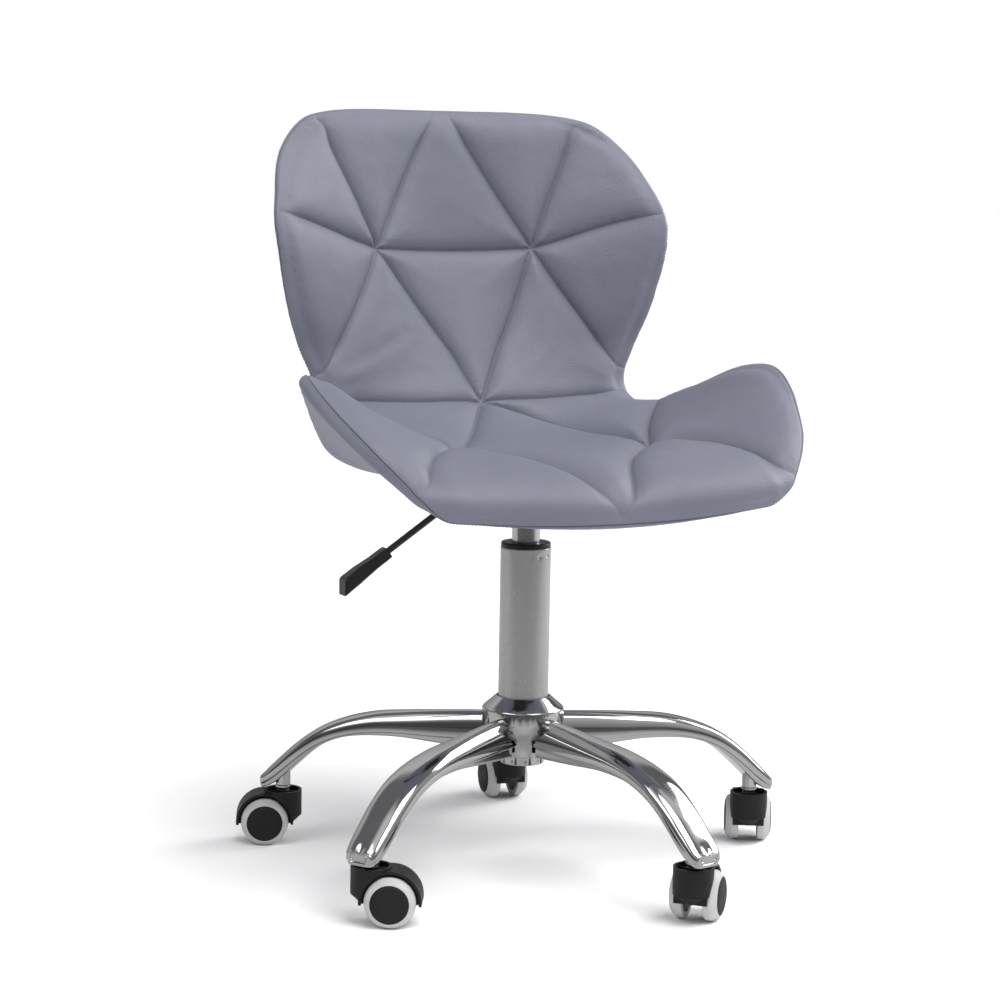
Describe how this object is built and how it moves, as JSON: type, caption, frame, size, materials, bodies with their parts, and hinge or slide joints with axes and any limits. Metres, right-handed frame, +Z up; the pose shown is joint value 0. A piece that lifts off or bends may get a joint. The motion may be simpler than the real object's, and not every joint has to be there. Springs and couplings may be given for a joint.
{
  "type": "swivel chair",
  "caption": "Swivel chair with a quilted one-piece bucket shell on a height-adjustable gas lift, a star base with arched chromed legs and hooded twin-wheel castors.",
  "frame": {"origin": "on the floor under the swivel axis", "axes": "+Z up, -Y the way the sitter faces, +X to the sitter's left; the gas lift is at its lowest"},
  "size_m": [0.553, 0.551, 0.7486],
  "materials": {
    "chrome": "polished, slightly satin chrome plate",
    "bright_steel": "bright zinc plate",
    "steel": "plain machined steel",
    "black_metal": "black powder coat",
    "black_plastic": "fine-grained moulding",
    "grey_tread": "soft grey tread",
    "rubber": "black rubber",
    "foam": "moulded foam",
    "plywood": "bent plywood",
    "cover_leather": "grey-lilac imitation leather with a fine pebble grain"
  },
  "bodies": {
    "base": {"hub": "chrome", "hub_ring": "bright_steel", "leg_1": "chrome", "leg_2": "chrome", "leg_3": "chrome", "leg_4": "chrome", "leg_5": "chrome", "castor_sockets": "bright_steel", "castor_stems": "bright_steel", "stem_spring_rings": "steel", "column_tube": "chrome", "guide_bush": "black_plastic", "foot_plate": "steel", "bearing_balls": "steel"},
    "rod": {"piston_rod": "steel", "bearing_race": "steel", "rubber_buffer": "rubber", "retaining_clip": "steel"},
    "seat": {"gas_cylinder": "bright_steel", "mounting_plate": "black_metal", "plate_bolts": "steel", "tee_nuts": "steel", "seat_board": "plywood", "foam_pad": "foam", "front_cover": "cover_leather", "rear_cover": "cover_leather"},
    "lever": {"lever_rod": "black_metal", "lever_grip": "black_plastic"},
    "button": {"release_button": "black_plastic"},
    "castor_1": {"castor_hood_1": "black_plastic", "castor_axle_1": "steel"},
    "wheel_1a": {"wheel_disc_1a": "black_plastic", "wheel_tread_1a": "grey_tread"},
    "wheel_1b": {"wheel_disc_1b": "black_plastic", "wheel_tread_1b": "grey_tread"},
    "castor_2": {"castor_hood_2": "black_plastic", "castor_axle_2": "steel"},
    "wheel_2a": {"wheel_disc_2a": "black_plastic", "wheel_tread_2a": "grey_tread"},
    "wheel_2b": {"wheel_disc_2b": "black_plastic", "wheel_tread_2b": "grey_tread"},
    "castor_3": {"castor_hood_3": "black_plastic", "castor_axle_3": "steel"},
    "wheel_3a": {"wheel_disc_3a": "black_plastic", "wheel_tread_3a": "grey_tread"},
    "wheel_3b": {"wheel_disc_3b": "black_plastic", "wheel_tread_3b": "grey_tread"},
    "castor_4": {"castor_hood_4": "black_plastic", "castor_axle_4": "steel"},
    "wheel_4a": {"wheel_disc_4a": "black_plastic", "wheel_tread_4a": "grey_tread"},
    "wheel_4b": {"wheel_disc_4b": "black_plastic", "wheel_tread_4b": "grey_tread"},
    "castor_5": {"castor_hood_5": "black_plastic", "castor_axle_5": "steel"},
    "wheel_5a": {"wheel_disc_5a": "black_plastic", "wheel_tread_5a": "grey_tread"},
    "wheel_5b": {"wheel_disc_5b": "black_plastic", "wheel_tread_5b": "grey_tread"}
  },
  "joints": [
    {"name": "seat_swivel", "type": "hinge", "parent": "base", "child": "rod", "pos_m": [0, 0, 0.115], "axis": [0, 0, 1], "continuous": true},
    {"name": "seat_lift", "type": "slide", "parent": "rod", "child": "seat", "axis": [0, 0, 1], "range_m": [0, 0.12]},
    {"name": "lever_lift", "type": "hinge", "parent": "seat", "child": "lever", "pos_m": [-0.026, 0, 0.3686], "axis": [0, 1, 0], "range_deg": [0, 6], "stiffness_Nm_per_rad": 2, "springref_deg": -5.73},
    {"name": "button_press", "type": "slide", "parent": "seat", "child": "button", "axis": [0, 0, -1], "range_m": [0, 0.0033]},
    {"name": "castor_swivel_1", "type": "hinge", "parent": "base", "child": "castor_1", "pos_m": [0.10387, 0.23069, 0.05], "axis": [0, 0, 1], "continuous": true},
    {"name": "castor_wheel_1a", "type": "hinge", "parent": "castor_1", "child": "wheel_1a", "pos_m": [0.10645, 0.24901, 0.024], "axis": [-0.9903, 0.1392, 0], "continuous": true},
    {"name": "castor_wheel_1b", "type": "hinge", "parent": "castor_1", "child": "wheel_1b", "pos_m": [0.10645, 0.24901, 0.024], "axis": [-0.9903, 0.1392, 0], "continuous": true},
    {"name": "castor_swivel_2", "type": "hinge", "parent": "base", "child": "castor_2", "pos_m": [-0.1873, 0.17008, 0.05], "axis": [0, 0, 1], "continuous": true},
    {"name": "castor_wheel_2a", "type": "hinge", "parent": "castor_2", "child": "wheel_2a", "pos_m": [-0.20446, 0.17701, 0.024], "axis": [-0.3746, -0.9272, 0], "continuous": true},
    {"name": "castor_wheel_2b", "type": "hinge", "parent": "castor_2", "child": "wheel_2b", "pos_m": [-0.20446, 0.17701, 0.024], "axis": [-0.3746, -0.9272, 0], "continuous": true},
    {"name": "castor_swivel_3", "type": "hinge", "parent": "base", "child": "castor_3", "pos_m": [-0.21963, -0.12558, 0.05], "axis": [0, 0, 1], "continuous": true},
    {"name": "castor_wheel_3a", "type": "hinge", "parent": "castor_3", "child": "wheel_3a", "pos_m": [-0.20345, -0.13455, 0.024], "axis": [0.4848, 0.8746, 0], "continuous": true},
    {"name": "castor_wheel_3b", "type": "hinge", "parent": "castor_3", "child": "wheel_3b", "pos_m": [-0.20345, -0.13455, 0.024], "axis": [0.4848, 0.8746, 0], "continuous": true},
    {"name": "castor_swivel_4", "type": "hinge", "parent": "base", "child": "castor_4", "pos_m": [0.05156, -0.24769, 0.05], "axis": [0, 0, 1], "continuous": true},
    {"name": "castor_wheel_4a", "type": "hinge", "parent": "castor_4", "child": "wheel_4a", "pos_m": [0.06487, -0.23484, 0.024], "axis": [-0.6947, 0.7193, 0], "continuous": true},
    {"name": "castor_wheel_4b", "type": "hinge", "parent": "castor_4", "child": "wheel_4b", "pos_m": [0.06487, -0.23484, 0.024], "axis": [-0.6947, 0.7193, 0], "continuous": true},
    {"name": "castor_swivel_5", "type": "hinge", "parent": "base", "child": "castor_5", "pos_m": [0.2515, -0.0275, 0.05], "axis": [0, 0, 1], "continuous": true},
    {"name": "castor_wheel_5a", "type": "hinge", "parent": "castor_5", "child": "wheel_5a", "pos_m": [0.26103, -0.01164, 0.024], "axis": [-0.8572, 0.515, 0], "continuous": true},
    {"name": "castor_wheel_5b", "type": "hinge", "parent": "castor_5", "child": "wheel_5b", "pos_m": [0.26103, -0.01164, 0.024], "axis": [-0.8572, 0.515, 0], "continuous": true}
  ],
  "couplings": [
    {"joint": "button_press", "follows": "lever_lift", "m_per_rad": 0.03}
  ]
}
